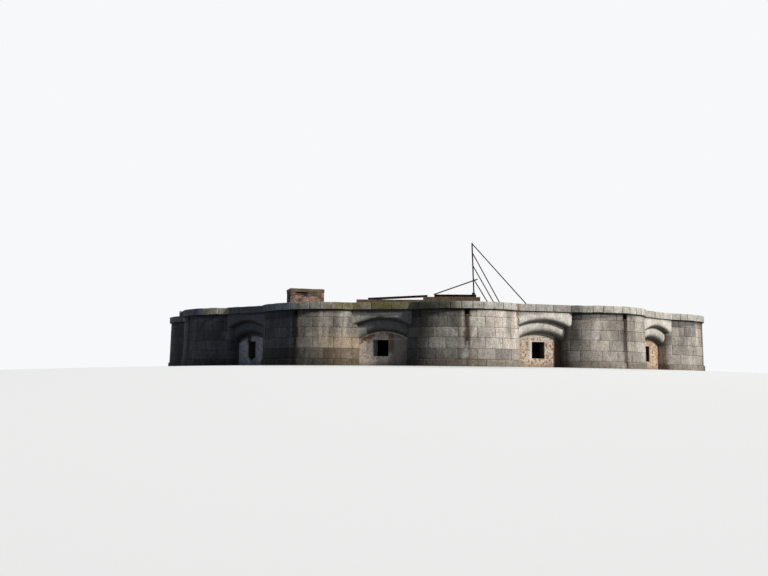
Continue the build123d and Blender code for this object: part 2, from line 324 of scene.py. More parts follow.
class Material(Nodes):
    """A material in the making, with its shader and the place of each point on the object."""

    def __init__(self, name, roughness):
        self.made = bpy.data.materials.new(name)
        self.made.use_nodes = True
        super().__init__(self.made.node_tree)
        self.shader = self.tree.nodes["Principled BSDF"]
        self.put(self.shader.inputs["Roughness"], roughness)
        self.put(self.shader.inputs["Specular IOR Level"], 0.2)
        self.place = self.add("TexCoord").outputs["Object"]

    def point_colour(self):
        """The colour and the alpha that the mesh's points carry."""
        return self.add("VertexColor", {"layer_name": "paint"}).outputs

    def noise(self, scale, detail, stretch=(1, 1, 1)):
        """A noise field over the object, stretched along the axes."""
        place = self.add("Mapping", Vector=self.place, Scale=stretch).outputs["Vector"]
        return self.add("TexNoise", Vector=place, Scale=scale, Detail=detail, Roughness=0.65).outputs["Fac"]

    def ramp(self, value, low, high, low_value, high_value):
        """Map a range of one value to another range, held at the ends."""
        return self.add("MapRange", Value=value, From_Min=low, From_Max=high,
                        To_Min=low_value, To_Max=high_value).outputs["Result"]

    def blend(self, mode, share, first, second):
        """A mix of two colours."""
        node = self.add("Mix", {"data_type": "RGBA", "blend_type": mode})
        for socket, value in zip((node.inputs[0], node.inputs[6], node.inputs[7]), (share, first, second)):
            self.put(socket, value)
        return node.outputs[2]

    def stain(self, colour, field, low, high, most, hue, mode="MULTIPLY"):
        """Lay a hue on a colour as a field goes from low to high, at most so much of it."""
        return self.blend(mode, self.ramp(field, low, high, 0, most), colour, hue)

    def shade(self, colour, field, low, high):
        """Multiply a colour by a noise field, from low to high."""
        grey = self.ramp(field, 0.3, 0.7, low, high)
        factor = self.add("CombineColor", Red=grey, Green=grey, Blue=grey).outputs["Color"]
        return self.blend("MULTIPLY", 1.0, colour, factor)

    def axes(self, vector):
        """The three parts of a vector."""
        return tuple(self.add("SeparateXYZ", Vector=vector).outputs)

    def flat_place(self, across, up):
        """A flat vector from one value across and one up."""
        return self.add("CombineXYZ", X=across, Y=up).outputs["Vector"]

    def bricks(self, flat_place, brick, second, mortar):
        """Bricks in running bond, at half size."""
        return self.add("TexBrick", Vector=flat_place, Scale=1.0, Brick_Width=brick_length,
                        Row_Height=brick_height, Mortar_Size=brick_joint,
                        Color1=brick, Color2=second, Mortar=mortar)

    def finish(self, colour, height, bump_height, bump_strength=1.0):
        """Give the shader its colour and bump."""
        bump = self.add("Bump", Strength=bump_strength, Distance=bump_height, Height=height)
        self.put(self.shader.inputs["Base Color"], colour)
        self.put(self.shader.inputs["Normal"], bump.outputs["Normal"])
        return self.made


def make_stone_material(name, streaks, contrast=1.0):
    """Weathered stone: the point colours, speckled and mottled, with faint streaks that run down."""
    stone = Material(name, 0.92)
    fine, grit, run = stone.noise(60, 5), stone.noise(17, 3), stone.noise(6, 5, (1, 1, 0.10))
    colour = stone.shade(stone.point_colour()["Color"], fine, 1 - 0.34 * contrast, 1 + 0.34 * contrast)
    colour = stone.shade(colour, stone.noise(5.0, 6), 0.76, 1.22)
    colour = stone.shade(colour, grit, 1 - 0.36 * contrast, 1 + 0.32 * contrast)
    colour = stone.shade(colour, stone.noise(30, 3, (1, 1, 0.16)), 0.76, 1.20)
    colour = stone.stain(colour, run, 0.54, 0.70, streaks, (0.42, 0.38, 0.35))
    colour = stone.stain(colour, run, 0.42, 0.30, streaks * 0.6, (0.16, 0.155, 0.14), "SCREEN")
    return stone.finish(colour, stone.maths("MULTIPLY_ADD", grit, 1.6, fine), 0.006, 0.8)


def make_plain_material(name, colour, second, scale, roughness=0.9, bump_height=0.006):
    """A rough surface mottled between two colours."""
    plain = Material(name, roughness)
    patches = plain.ramp(plain.noise(scale, 6), 0.38, 0.62, 0, 1)
    fine = plain.noise(scale * 14, 4)
    mixed = plain.blend("MIX", patches, colour, second)
    return plain.finish(plain.shade(mixed, fine, 0.72, 1.28), fine, bump_height)


def make_coat_material():
    """Peeling render: the point colours where the coat covers, and brick where it has gone."""
    wall = Material("peeling render", 0.9)
    paint = wall.point_colour()
    flat = wall.add("Attribute", {"attribute_name": "flat"}).outputs["Vector"]
    bricks = wall.bricks(flat, (0.38, 0.19, 0.13), (0.26, 0.13, 0.09), (0.40, 0.34, 0.27))
    fine = wall.noise(55, 4)
    ragged = wall.maths("MULTIPLY_ADD", wall.noise(22, 5), 0.55, paint["Alpha"])
    cover = wall.ramp(ragged, 0.74, 0.82, 0, 1)
    coat = wall.shade(paint["Color"], wall.noise(7, 6), 0.78, 1.2)
    colour = wall.shade(wall.blend("MIX", cover, bricks.outputs["Color"], coat), fine, 0.80, 1.18)
    return wall.finish(colour, wall.maths("MULTIPLY_ADD", cover, 0.8, fine), 0.008)


def make_ring_brick(name, brick, second, ring_radius, outer_shade=0.0):
    """Old brick in running bond, laid along the ring, on the faces and in the reveals."""
    wall = Material(name, 0.9)
    x, y, z = wall.axes(wall.place)
    radius = wall.add("VectorMath", {"operation": "LENGTH"}, Vector=wall.flat_place(x, y)).outputs["Value"]
    across = wall.maths("MULTIPLY_ADD", wall.maths("ARCTAN2", y, x), ring_radius, radius)
    bricks = wall.bricks(wall.flat_place(across, z), brick, second, [0.9 * part + 0.06 for part in brick])
    colour = wall.shade(bricks.outputs["Color"], wall.noise(2.5, 6), 0.6, 1.35)
    colour = wall.shade(colour, wall.noise(14, 4), 0.66, 1.34)
    colour = wall.stain(colour, wall.noise(3.2, 6, (1, 1, 0.12)), 0.50, 0.68, 0.75, (0.36, 0.34, 0.32))
    bloom = [0.45 * part + 0.16 for part in brick]
    colour = wall.stain(colour, wall.noise(1.1, 7), 0.55, 0.66, 0.45, bloom, "MIX")
    above_foot = wall.maths("MULTIPLY_ADD", wall.noise(2.0, 4), 0.7, z)
    colour = wall.stain(colour, above_foot, 0.95, 0.45, 0.6, (0.38, 0.38, 0.33))
    # Painted shade: darker on the ring's gallery side, as far as outer_shade says, so the gallery reads dark
    # through the windows
    colour = wall.stain(colour, radius, ring_radius - 0.03, ring_radius - 0.01, outer_shade,
                        (0.16, 0.17, 0.18))
    return wall.finish(colour, wall.maths("SUBTRACT", wall.noise(50, 4), bricks.outputs["Fac"]), 0.005)


def make_box_brick(name, angle, brick, second, mortar):
    """Brick on a box that is turned by an angle, in running bond on all its upright faces."""
    wall = Material(name, 0.9)
    level = wall.add("VectorRotate", {"rotation_type": "Z_AXIS"}, Vector=wall.place, Angle=-angle)
    x, y, z = wall.axes(level.outputs["Vector"])
    bricks = wall.bricks(wall.flat_place(wall.maths("ADD", x, y), z), brick, second, mortar)
    colour = wall.stain(bricks.outputs["Color"], wall.noise(4.0, 6), 0.50, 0.66, 0.75, (0.30, 0.27, 0.25))
    colour = wall.shade(colour, wall.noise(16, 5), 0.7, 1.3)
    return wall.finish(colour, wall.maths("SUBTRACT", wall.noise(50, 4), bricks.outputs["Fac"]), 0.005)


granite = make_stone_material("granite", streaks=0.45)
head_granite = make_stone_material("dressed granite", streaks=0.30, contrast=0.55)
coping_granite = make_stone_material("coping granite", streaks=0.35)
coat = make_coat_material()
arch_core = make_plain_material("arch core", (0.24, 0.22, 0.195), (0.31, 0.285, 0.25), 6)
concrete = make_plain_material("concrete", (0.33, 0.31, 0.27), (0.22, 0.215, 0.17), 1.3)
base_concrete = make_plain_material("stained concrete", (0.085, 0.055, 0.038), (0.155, 0.125, 0.085), 5)
slab_concrete = make_plain_material("dirty slab", (0.165, 0.135, 0.09), (0.085, 0.068, 0.046), 4)
rust = make_plain_material("rust", (0.028, 0.018, 0.015), (0.070, 0.034, 0.022), 14, 0.85, 0.003)
# The port walls' brick shows only in the reveals and from the gallery, and is near black: painted shade
shaded_wall_brick = make_ring_brick("shaded wall brick", (0.085, 0.06, 0.05), (0.06, 0.045, 0.04), port_wall_face)
court_brick = make_ring_brick("court brick", (0.30, 0.17, 0.12), (0.22, 0.14, 0.11), court_wall_outer, 0.9)
post_brick = make_box_brick("post brick", viewer_angle + post_turn, (0.30, 0.17, 0.12), (0.23, 0.15, 0.115),
                            (0.30, 0.25, 0.21))


# Colours of the granite, point by point

def fort_angle(points):
    """The angle round the fort, in degrees."""
    return np.degrees(np.arctan2(points[..., 0], -points[..., 1]))


def ring_length(points):
    """The length round the fort, along the ring of the port faces."""
    return np.radians(fort_angle(points)) * port_face


# How pale the masonry is at angles round the fort: sooty, lichen-grown stone on the left, clean stone on the
# right, and painted sunlight and shade, dark where a face turns from the sun and bright where it faces it
wall_light_and_soot_tones = ((-180, 0.85), (-90, 0.72), (-75, 0.23), (-61, 0.21), (-52, 0.22), (-49.5, 0.17), (-46, 0.17),
              (-43, 0.30), (-28, 0.22), (-23, 0.19), (-16.2, 0.20), (-14.6, 0.74), (-9, 0.80), (-6, 1.24),
              (-3, 0.70), (3, 0.19), (6.5, 0.31), (9, 1.02), (13.5, 0.83), (15.5, 1.27), (28, 1.47),
              (32, 0.36), (34.8, 0.32), (36.4, 0.52), (39, 1.04), (60, 1.10), (90, 1.08), (180, 0.85))
head_light_and_soot_tones = ((-180, 0.80), (-90, 0.70), (-60, 0.28), (-30, 0.26), (-5, 0.44), (5, 0.42), (20, 0.80),
              (25, 1.74), (65, 1.40), (90, 0.85), (180, 0.80))
coping_light_and_soot_tones = ((-180, 0.75), (-90, 0.70), (-60, 0.30), (-48, 0.28), (-41.5, 0.32), (-40, 0.85),
                (-35.2, 0.85), (-34.8, 0.22), (-25, 0.25), (-20, 0.45), (-15, 0.72), (-5, 0.66), (5, 0.50),
                (12, 0.66), (15, 0.95), (30, 1.00), (36, 0.66), (38, 1.02), (60, 1.03), (90, 0.97),
                (180, 0.75))


def tone_at(angle, tones):
    """The tone at an angle, between pairs of angle and tone."""
    return np.interp(angle, *zip(*tones))


def cold_shade_and_soot(colour, angle):
    """Painted cold shade: the sooty left of the fort, which lies in shade, is tinted a cold blue grey."""
    return tint(colour, (0.83, 0.99, 1.27), smooth(-110, -80, angle) * (1 - smooth(-16, -14.8, angle)))


def in_coping_shadow(up, reach, soft):
    """1 within a reach below the wall's top, 0 further down: the band where the coping's painted shadow
    lies.
    """
    return smooth(wall_height - reach - soft, wall_height - reach, up)


def paint_granite(points, tone):
    """Stone colour by the stone's own tone, the side of the fort with painted sunlight and shade, the
    course, the coping's painted shadow and the drains.
    """
    angle, along, up = fort_angle(points), ring_length(points), points[..., 2]
    distance = np.hypot(points[..., 0], points[..., 1])
    hue = (tone * 7.3) % 1
    base = mix((0.395, 0.37, 0.336), (0.425, 0.378, 0.328), hue * np.ones_like(up))
    blotch = 0.72 + 0.56 * cloud(along, up, 0.9, 3)
    colour = base * (tone_at(angle, wall_light_and_soot_tones) * (0.78 + 0.42 * tone) * blotch)[..., None]
    tan = band(-9, -4, 3, angle) * (1 - smooth(1.2, 1.9, up))
    colour = tint(colour, (1.16, 1.0, 0.80), 0.9 * tan)
    # Painted shade with soot: darker on the top two courses over the left half of the lobe right of the
    # front port
    colour = tint(colour, 0.58, band(3, 13.5, 1.2, angle) * smooth(1.69, 1.73, up))
    damp = smooth(0.42, 0.62, cloud(along, up * 0.16, 0.35, 5)) * smooth(0.6, 1.6, up)
    colour = tint(colour, 0.58, damp)
    grimy = 0.54 * band(-26, -2, 2, angle) + 0.33 * band(-2, 31, 2, angle) + 0.08
    colour = tint(colour, 0, grimy * (1 - smooth(0.76, 0.80, up)))
    colour = tint(colour, (0.66, 0.62, 0.58), 1 - smooth(plinth_height - 0.04, plinth_height + 0.04, up))

    # Painted shadow of the coping, deeper at the left of each lobe, and a thin painted line of shade right
    # under the coping
    offset = angle % pitch_degrees - pitch_degrees / 2
    reach = np.interp(offset - 6 * (angle < 0), (-13, -8, -2, 6, 13), (0.40, 0.34, 0.17, 0.06, 0.05))
    colour = tint(colour, 0.42, in_coping_shadow(up, reach - 0.02, 0.06))
    colour = tint(colour, 0.30, in_coping_shadow(up, 0.05, 0.025))
    washed_and_sunlit = smooth(0.60, 0.72, cloud(along, up * 0.10, 0.16, 17))
    colour = tint(colour, 1.4, 0.7 * washed_and_sunlit * smooth(0.35, 0.6, cloud(along, up, 0.5, 18)))

    # The stain below each drain, with a halo, and lime in the one right of the middle
    beside = np.abs(np.radians(offset)) * distance
    on_lobe = distance > port_face
    halo = (1 - smooth(0.05, 0.36, beside)) * band(0.7, 1.9, 0.5, up) * on_lobe
    colour = tint(colour, (0.74, 0.66, 0.62), 0.55 * halo)
    spread = 0.08 + 0.03 * up / wall_height + 0.09 * (cloud(along, up * 0.6, 0.16, 8) - 0.5)
    left_at_foot = np.interp(angle, (-15, 15, 45), (0.9, 0.3, 0.75))
    left_here = left_at_foot + (1 - left_at_foot) * smooth(0.7, 1.1, up)
    stain = (1 - smooth(spread, spread + 0.07, beside)) * left_here
    stain_hue = mix((0.15, 0.105, 0.09), (0.08, 0.075, 0.075), angle < 0)
    colour = tint(colour, stain_hue, stain * on_lobe * 0.94)
    trickle = band(14.9, 15.2, 0.1, angle) * band(0.55, 1.0, 0.08, up)
    patch = band(14.55, 15.5, 0.25, angle) * band(0.42, 0.60, 0.08, up)
    lime = np.maximum(trickle, patch * smooth(0.42, 0.56, cloud(along, up * 0.2, 0.06, 14))) * on_lobe
    # Painted cold shade on the left flank of the lobe right of the front port
    colour = tint(colour, (0.90, 0.99, 1.12), band(2, 6, 2, angle))
    return mix(cold_shade_and_soot(colour, angle), (0.62, 0.63, 0.62), 0.55 * lime)


def paint_head(points, tone, radius, nose):
    """Colour of the stones over the ports, cleaner and paler than the lobes, with painted shade on the
    undersides, the coping's painted shadow and painted sunlit strips over the front port.
    """
    angle, up = fort_angle(points), points[..., 2]
    aside = angle - pitch_degrees * np.round(angle / pitch_degrees)
    rise = np.hypot(np.radians(aside) * port_face, up - arch_axis)
    base = np.array((0.44, 0.415, 0.375)) * (0.92 + 0.16 * tone)
    mottle = 0.84 + 0.32 * cloud(ring_length(points), up, 0.5, 9)
    colour = base * (tone_at(angle, head_light_and_soot_tones) * mottle)[..., None]
    # Painted shade on the underside of each nose and, on the inner head, the painted shadow of the outer
    # head across its top; darkest at the right of the ports on the right
    shade_and_soot = 1 - smooth(radius + 0.12 * nose, radius + 0.66 * nose, rise)
    if radius == inner_arch_radius:
        shade_and_soot = np.maximum(shade_and_soot, smooth(outer_arch_radius - 0.12, outer_arch_radius - 0.02, rise))
    at_front = band(-6.5, 6.5, 0.5, angle)
    underside_shade_colour = mix((0.22, 0.21, 0.21), (0.11, 0.11, 0.12), smooth(-1, 4, aside) * (angle > 20))
    colour = tint(colour, underside_shade_colour, (0.9 - 0.12 * at_front) * shade_and_soot)
    # Painted cold shade on the right of the front port's head
    colour = tint(colour, (0.90, 0.99, 1.10), at_front * smooth(-4.5, -2.0, angle))
    # Painted shadow of the coping on the heads, deeper at the left of each port, and a thin painted line of
    # shade right under the coping
    reach = np.interp(aside, (-6, 6), (0.20, 0.07)) * (np.abs(angle) < 30)
    colour = tint(colour, 0.62, in_coping_shadow(up, reach, 0.03))
    colour = tint(colour, 0.45, in_coping_shadow(up, 0.055, 0.03))
    if radius == outer_arch_radius:
        # Painted sunlight: pale strips across the front port's outer head, below the coping's painted shadow
        sunlit_strip_foot = wall_height - np.interp(angle, (-5.5, -1.3), (0.62, 0.345))
        washed_and_sunlit = band(-6.5, -1.3, 0.3, angle) + 0.35 * band(-1, 0.2, 0.3, angle) + band(0.5, 3.0, 0.2, angle)
        washed_and_sunlit = washed_and_sunlit * band(sunlit_strip_foot, wall_height - 0.29, 0.012, up)
        colour = mix(colour, (0.50, 0.48, 0.43), 0.80 * np.clip(washed_and_sunlit, 0, 1))
    else:
        lit_corner = band(-6.5, -3.2, 0.2, angle) * (1 - smooth(1.69, 1.72, up))
        colour = mix(colour, (0.46, 0.46, 0.42), 0.85 * lit_corner)
    rust_joint = band(24.78, 25.02, 0.05, angle)
    return mix(cold_shade_and_soot(colour, angle), (0.16, 0.085, 0.055), 0.85 * rust_joint)


def paint_coping(points, tone):
    """Colour of the coping: pale at the right, mossy near the middle, dark at the left, with painted
    sunlight and shade.
    """
    angle, along, up = fort_angle(points), ring_length(points), points[..., 2]
    base = np.array((0.52, 0.495, 0.45)) * (0.84 + 0.34 * tone)
    colour = base * tone_at(angle, coping_light_and_soot_tones)[..., None]
    growth = cloud(along, up, 0.5, 21)
    moss = band(-9, 4.5, 1.2, angle) * (0.45 + 0.55 * smooth(0.35, 0.6, growth))
    moss_colour = mix((0.145, 0.135, 0.045), (0.25, 0.205, 0.09), tone * np.ones_like(up))
    colour = mix(colour, moss_colour, 0.9 * moss)
    green = band(6, 12.5, 1.5, angle) * (0.5 + 0.5 * smooth(0.3, 0.55, growth))
    colour = mix(colour, (0.075, 0.08, 0.055), 0.9 * green)
    lichen = smooth(0.60, 0.72, cloud(along, up, 0.22, 33))
    colour = tint(colour, (0.62, 0.60, 0.50), 0.6 * lichen)
    warm = band(-39.6, -35, 0.5, angle)
    colour = mix(cold_shade_and_soot(colour, angle), colour * (1.03, 1.02, 0.99), warm)
    return mix(colour, (0.18, 0.10, 0.065), 0.8 * band(24.5, 24.8, 0.05, angle))


# Laying stones

edge_lines = np.array([0.0, 0.4, 1.0, 2.0])
edge_sink = np.array([1.0, 0.35, 0.08, 0.0])


def lines_across(low, high, gap, step):
    """Grid lines over a stone and their sink: close together at the rounded edges."""
    edge = min(gap, (high - low) / 5) * edge_lines
    count = max(2, round((high - low) / step))
    middle = np.linspace(low + edge[-1], high - edge[-1], count + 1)[1:-1]
    lines = np.concatenate([low + edge, middle, high - edge[::-1]])
    sink = np.concatenate([edge_sink, np.zeros(len(middle)), edge_sink[::-1]])
    return lines, sink


def lay_stone(skin, surface, across, up, paint, gap=joint, depth=joint_depth, relief=0.005, chip=0.03,
              step=0.11):
    """One stone, as a cushion on a surface, between two joints across and two up."""
    lines_a, sink_a = lines_across(*across, gap, step)
    lines_u, sink_u = lines_across(*up, gap, step)
    grid_a, grid_u = grid(lines_a, lines_u)
    sink = np.maximum(sink_a[:, None], sink_u[None, :])
    seed = int(rng.integers(1000))
    bumps = 2 * cloud(grid_a, grid_u, 0.25, seed, 3) - 1 + rng.normal(0, 0.5)
    out = relief * bumps * (1 - sink) - depth * sink
    chip_across, chip_up = rng.choice(across), rng.choice(up)
    reach = rng.uniform(0.02, 0.11) * rng.integers(0, 2)
    near = np.hypot(grid_a - chip_across, grid_u - chip_up)
    out = out - chip * (1 - smooth(0, reach + hair, near))
    points = surface(grid_a, grid_u, out)
    filled = smooth(0.35, 0.65, cloud(grid_a, grid_u, 0.4, seed + 7, 2)) * rng.uniform(0.3, 1.0)
    skin.add(points, paint(points, rng.uniform()) * (1 - joint_shade * (1 - 0.7 * filled) * sink)[..., None])


def lay_row(skin, surface, joints, up, paint, **look):
    """A row of stones, one between each joint and the next."""
    for across in pairwise(joints):
        lay_stone(skin, surface, across, up, paint, **look)


def stones_between(low, high, first_joint, length):
    """Joints from low to high, spaced by length from the first one, a little uneven."""
    joints = np.arange(first_joint, high, length)
    joints = joints + rng.uniform(-0.06, 0.06, len(joints))
    shortest = shortest_share * length
    inside = joints[(joints > low + shortest) & (joints < high - shortest)]
    return np.concatenate([[low], inside, [high]])


# The plan of a pier, measured along its face from the middle of the lobe
port_axis = np.array([math.sin(half_pitch), -math.cos(half_pitch)])
port_across = np.array([math.cos(half_pitch), math.sin(half_pitch)])
corner_along = math.sqrt((lobe_radius - corner_radius) ** 2
                         - (lobe_centre * math.sin(half_pitch) - port_half_width - corner_radius) ** 2)
corner_middle = (port_axis * (lobe_centre * math.cos(half_pitch) + corner_along)
                 - port_across * (port_half_width + corner_radius))
lobe_end = half_pitch + math.acos(corner_along / (lobe_radius - corner_radius))
jamb_turn = math.pi / 2 + half_pitch
lobe_half = lobe_radius * lobe_end
corner_half = lobe_half + corner_radius * (jamb_turn - lobe_end)
jamb_depth = lobe_centre * math.cos(half_pitch) + corner_along - gallery_outer
face_half = corner_half + jamb_depth


def pier_surface(angle):
    """The face of a pier, by the length along it, the height and the distance out."""

    def surface(along, up, out):
        side = np.sign(along)
        length = np.abs(along)
        on_lobe = np.minimum(length, lobe_half)
        on_corner = np.clip(length - lobe_half, 0, corner_half - lobe_half)
        on_jamb = np.maximum(length - corner_half, 0)
        normal = on_lobe / lobe_radius + on_corner / corner_radius
        share = (jamb_turn - normal) / (jamb_turn - lobe_end)
        lean = (wall_height - up) * batter + plinth_step * (up < plinth_height - 0.001)
        raised = out + np.clip(share, 0, 1) * lean
        lobe_x = lobe_radius * np.sin(np.minimum(normal, lobe_end))
        lobe_y = -lobe_centre - lobe_radius * np.cos(np.minimum(normal, lobe_end))
        corner_x = corner_middle[0] + corner_radius * np.sin(normal) - port_axis[0] * on_jamb
        corner_y = corner_middle[1] - corner_radius * np.cos(normal) - port_axis[1] * on_jamb
        past = length > lobe_half
        x = np.where(past, corner_x, lobe_x) + raised * np.sin(normal)
        y = np.where(past, corner_y, lobe_y) - raised * np.cos(normal)
        return turn(np.stack([side * x, y, up], -1), angle)

    return surface


def lay_drain(skin, surface):
    """The two sides and the back of the drain slot under the coping, near black: painted shade."""
    half = drain_width / 2
    levels = np.array([[wall_height - drain_height, wall_height]] * 2)
    for along, out in (((-half, -half), (0, -drain_depth)), ((half, half), (0, -drain_depth)),
                       ((-half, half), (-drain_depth, -drain_depth))):
        places, depths = (np.repeat(np.array(ends, dtype=float)[:, None], 2, 1) for ends in (along, out))
        skin.add(surface(places, levels, depths), (0.05, 0.04, 0.035))


def lay_pier_back(skin, surface, angle):
    """The pier's back in the gallery and its underside."""
    port_line = port_axis * gallery_outer - port_across * port_half_width
    ends = np.array([(-port_line[0], port_line[1]), (0, -gallery_outer / math.cos(half_pitch)), port_line])
    wall = np.array([[(x, y, 0), (x, y, wall_height)] for x, y in ends])
    skin.add(turn(wall, angle), (0.25, 0.22, 0.19))
    rim_points = 61
    level = np.zeros(rim_points)
    rim = surface(np.linspace(-face_half, face_half, rim_points), level, level - joint_depth)
    back_x = np.linspace(ends[0][0], ends[2][0], rim_points)
    back = turn(np.stack([back_x, np.interp(back_x, ends[:, 0], ends[:, 1]), level], -1), angle)
    skin.add(np.stack([back, rim], 0), (0.15, 0.13, 0.11))


def build_pier(number, angle):
    """One pier: six courses of stones, a drain slot, the back in the gallery and the underside."""
    skin = Skin()
    surface = pier_surface(angle)
    bottom = 0.0
    for course, top in enumerate(course_tops):
        first = -4 * stone_length + (0.5 * stone_length if course % 2 else 0)
        joints = stones_between(-face_half, face_half, first, stone_length)
        if top == wall_height:
            aside = joints[np.abs(joints) > shortest_share * stone_length]
            joints = np.sort(np.concatenate([aside, [-drain_width / 2, drain_width / 2]]))
        for left, right in pairwise(joints):
            is_drain = top == wall_height and abs(left + right) < 0.01
            stone_top = top - drain_height if is_drain else top
            lay_stone(skin, surface, (left, right), (bottom, stone_top), paint_granite)
        bottom = top
    lay_drain(skin, surface)
    lay_pier_back(skin, surface, angle)
    skin.build(f"pier_stones_{number:02d}", granite, [f"pier_{number:02d}"])


def arch_surface(angle, radius, nose, front, top_length, flat_top):
    """The stones over a port, from their top down the face, round the nose and along the soffit."""

    def surface(along, down, out):
        face_radius = radius + nose
        theta = along / face_radius
        full = (wall_height - arch_axis) / np.cos(theta) - face_radius if flat_top else top_length
        on_face = np.minimum(down, top_length)
        bend = np.clip((down - top_length) / nose, 0, math.pi / 2)
        on_soffit = np.maximum(down - top_length - nose * math.pi / 2, 0)
        raised = out + arch_proud
        ring = face_radius + full * (1 - on_face / top_length) - (nose + raised) * np.sin(bend)
        distance = front - nose * (1 - np.cos(bend)) + raised * np.cos(bend) - on_soffit
        points = np.stack([ring * np.sin(theta), -distance, arch_axis + ring * np.cos(theta)], -1)
        return turn(points, angle)

    return surface


def build_head(port):
    """The outer and the inner arch of one port, each of a few long stones."""
    skin = Skin()
    step = 0.03 if port == front_port else 0.07
    outer_face = wall_height - arch_axis - outer_arch_radius - outer_nose_radius
    inner_face = outer_arch_radius - inner_arch_radius - inner_nose_radius
    outer_soffit = port_face - outer_nose_radius - soffit_back
    for radius, nose, front, face, soffit, joints in (
            (outer_arch_radius, outer_nose_radius, port_face, outer_face, outer_soffit, outer_arch_joints),
            (inner_arch_radius, inner_nose_radius, soffit_back, inner_face, 0, inner_arch_joints)):
        surface = arch_surface(port * pitch, radius, nose, front, face, radius == outer_arch_radius)
        end = face + nose * math.pi / 2 + soffit
        paint = partial(paint_head, radius=radius, nose=nose)
        lay_row(skin, surface, joints[port % 2], (0, end), paint, step=step, **dressed)
    skin.build(f"arch_stones_{port + 1:02d}", head_granite)


# Port walls

# For each port that the photograph shows: the render, its stain, and how much of the brick is bare
plain_look = ((0.50, 0.43, 0.36), (0.30, 0.23, 0.18), 0.35)
wall_looks = {
    front_port: ((0.84, 0.74, 0.64), (0.46, 0.33, 0.27), -0.6),
    right_port: ((0.66, 0.56, 0.44), (0.44, 0.29, 0.21), 0.26),
    far_right_port: ((0.66, 0.53, 0.39), (0.42, 0.27, 0.17), 0.24),
    # The far left port's render carries a blue tint of painted cold shade
    broken_port: ((0.55, 0.555, 0.62), (0.30, 0.31, 0.36), -1.5),
}
wall_step = 0.03
wall_edge = 0.004
entrance_rows = (40, 15)
reveal_rows = (12, 20)


def wall_lines(low, high, first, last):
    """Grid lines over a wall with an opening from first to last, close together at its edges."""
    before = np.linspace(low, first - wall_edge, max(2, round((first - low) / wall_step)))
    inside = np.linspace(first, last, max(2, round((last - first) / wall_step)))
    after = np.linspace(last + wall_edge, high, max(2, round((high - last) / wall_step)))
    return np.concatenate([before, inside, after])


def arch_lip(rise):
    """The line of render along the arch over the front port's wall."""
    return band(inner_arch_radius - 0.06, inner_arch_radius - 0.025, 0.008, rise)


def wall_cover(port, across, up, window):
    """How much render is left on a port's wall, 1 where it is whole."""
    left, right, low, high = window
    rise = np.hypot(across, up - arch_axis)
    bare = wall_looks.get(port, plain_look)[2]
    cover = smooth(0.32, 0.38, cloud(across + 5 * port, up, 0.062, 40 + port, 3) - 0.22 * bare)
    if port == front_port:
        below_arch = smooth(inner_arch_radius - 0.36, inner_arch_radius - 0.16, rise)
        torn = smooth(0.36, 0.52, cloud(across, up, 0.10, 4))
        gone = 0.95 * below_arch * (1 - smooth(-0.55, -0.25, across)) * torn
        return np.maximum(cover * (1 - gone), arch_lip(rise))
    if port == right_port:
        jamb = band(left - 0.11, left, 0.01, across) * band(low, high + 0.07, 0.02, up)
        lintel = band(high, high + 0.06, 0.01, up) * band(left - 0.10, right + 0.10, 0.02, across)
        cover = np.maximum(cover, np.maximum(jamb, lintel)) * (1 - band(-1.2, -1.02, 0.04, across))
        # The render is kept whole at the right, where the next lobe's painted shadow lies
        cover = np.maximum(cover, smooth(0.72, 0.84, across))
    # The render is kept whole under the arch, where the arch's painted shadow lies
    return np.maximum(cover, smooth(inner_arch_radius - 0.20, inner_arch_radius - 0.14, rise))


def wall_colour(port, across, up, window):
    """The render's colour on a port's wall, with painted shade under the arch and at the right."""
    left, right, low, high = window
    rise = np.hypot(across, up - arch_axis)
    render, stain, _ = wall_looks.get(port, plain_look)
    colour = mix(render, stain, 0.75 * smooth(0.48, 0.68, cloud(across, up * 0.3, 0.22, 60 + port)))
    specks = smooth(0.56, 0.70, cloud(across, up, 0.055, 160 + port, 3))
    colour = mix(colour, np.array(stain) * 0.7, 0.65 * specks)
    colour = mix(colour, np.array(stain) * 0.6, 0.6 * (1 - smooth(0.05, 0.30, up)))
    if port == front_port:
        below_arch = smooth(inner_arch_radius - 0.30, inner_arch_radius - 0.10, rise)
        rusty = below_arch * (1 - smooth(0.2, 0.9, across)) * smooth(0.3, 0.6, cloud(across, up, 0.16, 7))
        colour = mix(colour, (0.37, 0.18, 0.12), 0.85 * rusty)
        # Painted shade on the right of the front port's wall, where the next lobe's shadow falls
        colour = mix(colour, (0.24, 0.215, 0.215), 0.82 * smooth(0.15, 0.45, across))
        rust_run = band(right + 0.02, right + 0.22, 0.05, across) * smooth(0.5, 0.8, up)
        colour = mix(colour, (0.17, 0.10, 0.06), 0.8 * rust_run)
        ledge = band(high + 0.02, high + 0.045, 0.01, up) * band(left - 0.05, right + 0.55, 0.05, across)
        colour = mix(colour, (0.62, 0.57, 0.50), ledge)
        return mix(colour, (0.80, 0.72, 0.64), 0.9 * arch_lip(rise))
    # Painted shadow of the arch across the top of the wall
    colour = tint(colour, 0.20, smooth(inner_arch_radius - 0.19, inner_arch_radius - 0.12, rise))
    if port == right_port:
        jamb = band(left - 0.10, left, 0.01, across) * band(low, high + 0.05, 0.02, up)
        lintel = band(high, high + 0.04, 0.01, up) * band(left - 0.09, right + 0.05, 0.02, across)
        colour = mix(colour, (0.68, 0.64, 0.59), np.maximum(jamb, 0.6 * lintel))
        colour = mix(colour, (0.66, 0.60, 0.52), 0.7 * smooth(1.12, 1.32, up))
        # Painted shadow of the next lobe on the right of the wall
        colour = mix(colour, (0.07, 0.05, 0.045), 0.92 * smooth(0.70, 0.84, across))
    if port == broken_port:
        above = band(left - 0.05, left + 0.20, 0.03, across) * band(high - 0.02, high + 0.32, 0.03, up)
        colour = mix(colour, (0.05, 0.05, 0.055), 0.95 * above)
    return colour


